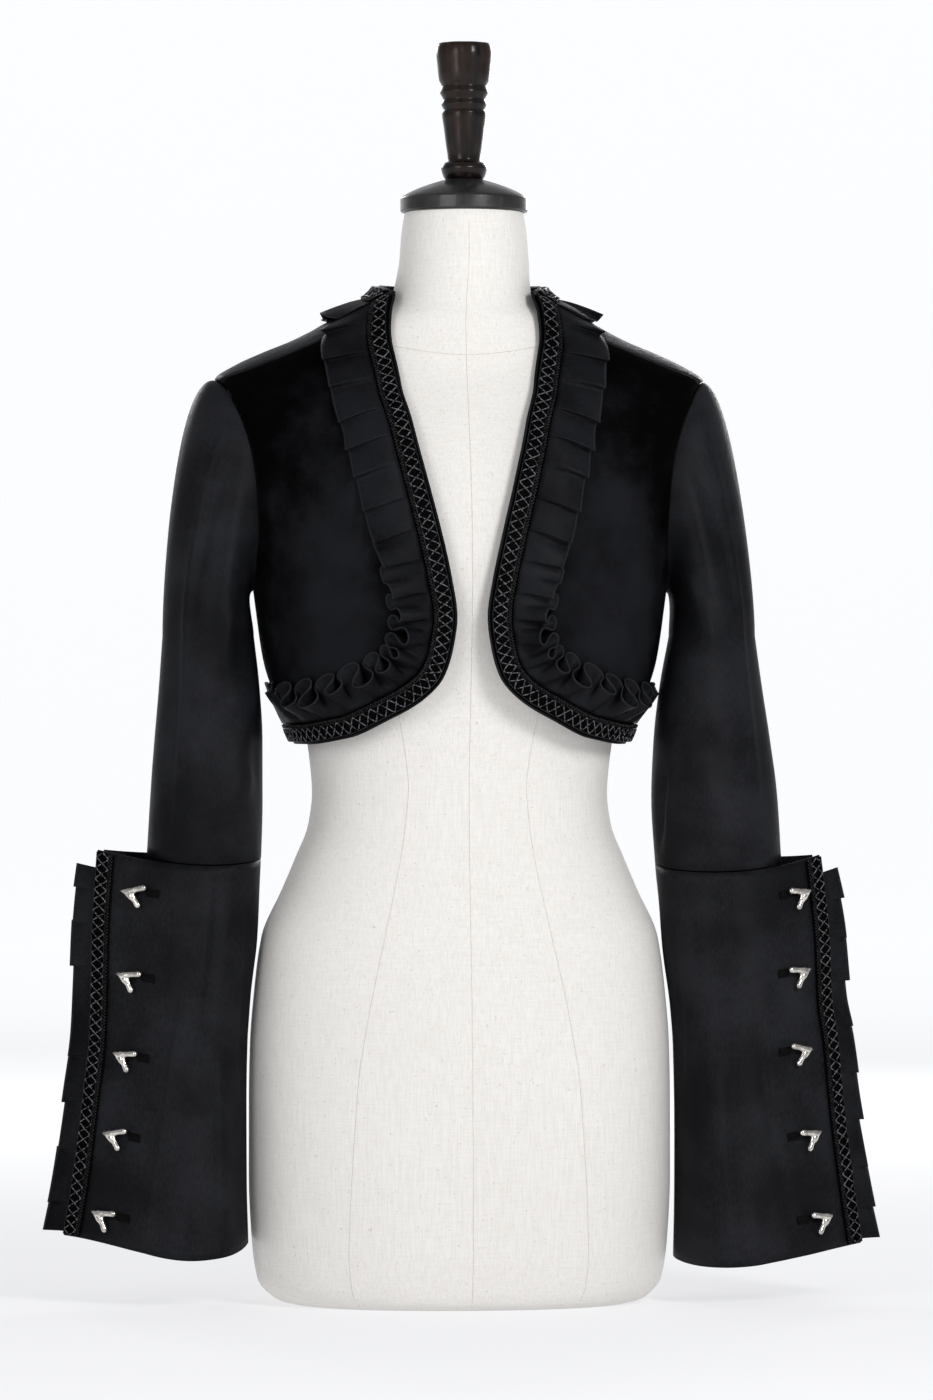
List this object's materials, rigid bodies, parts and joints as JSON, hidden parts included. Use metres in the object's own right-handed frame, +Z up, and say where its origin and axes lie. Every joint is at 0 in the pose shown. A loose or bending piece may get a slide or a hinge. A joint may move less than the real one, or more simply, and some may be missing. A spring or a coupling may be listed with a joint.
{
  "type": "cropped jacket on a limbless dress form",
  "caption": "Cropped open-front jacket with curved fronts, pleated ruffle and braid edging and long flared cuffs, worn by a limbless dress form with cap and finial.",
  "frame": {"origin": "middle of the dress form's flat base", "axes": "+Z up through the neck and finial, the open front towards -Y, +X to the right as seen from the front"},
  "size_m": [0.6668, 0.2592, 1.0059],
  "materials": {
    "satin_charcoal": "soft charcoal satin with a velvety sheen",
    "velvet_black": "black velvet",
    "ruffle_satin": "charcoal satin, pressed in pleats",
    "braid_black": "glossy black woven braid",
    "toggle_silver": "polished silver",
    "form_linen": "off-white flecked linen",
    "cap_black": "satin black",
    "finial_wood": "dark lacquered wood"
  },
  "bodies": {
    "root": {"back": "satin_charcoal", "front_left": "velvet_black", "front_right": "velvet_black", "sleeve_left": "satin_charcoal", "sleeve_right": "satin_charcoal", "cuff_left": "satin_charcoal", "cuff_right": "satin_charcoal", "braid_front_left": "braid_black", "braid_front_right": "braid_black", "braid_back_neck": "braid_black", "braid_back_hem": "braid_black", "braid_cuff_left": "braid_black", "braid_cuff_right": "braid_black", "ruffle_front_left": "ruffle_satin", "ruffle_front_right": "ruffle_satin", "ruffle_back_neck": "ruffle_satin", "ruffle_back_hem": "ruffle_satin", "ruffle_cuff_left": "ruffle_satin", "ruffle_cuff_right": "ruffle_satin", "toggle_left_1": "toggle_silver", "toggle_left_2": "toggle_silver", "toggle_left_3": "toggle_silver", "toggle_left_4": "toggle_silver", "toggle_left_5": "toggle_silver", "toggle_right_1": "toggle_silver", "toggle_right_2": "toggle_silver", "toggle_right_3": "toggle_silver", "toggle_right_4": "toggle_silver", "toggle_right_5": "toggle_silver", "form_torso": "form_linen", "form_cap": "cap_black", "form_finial": "finial_wood"}
  },
  "joints": []
}
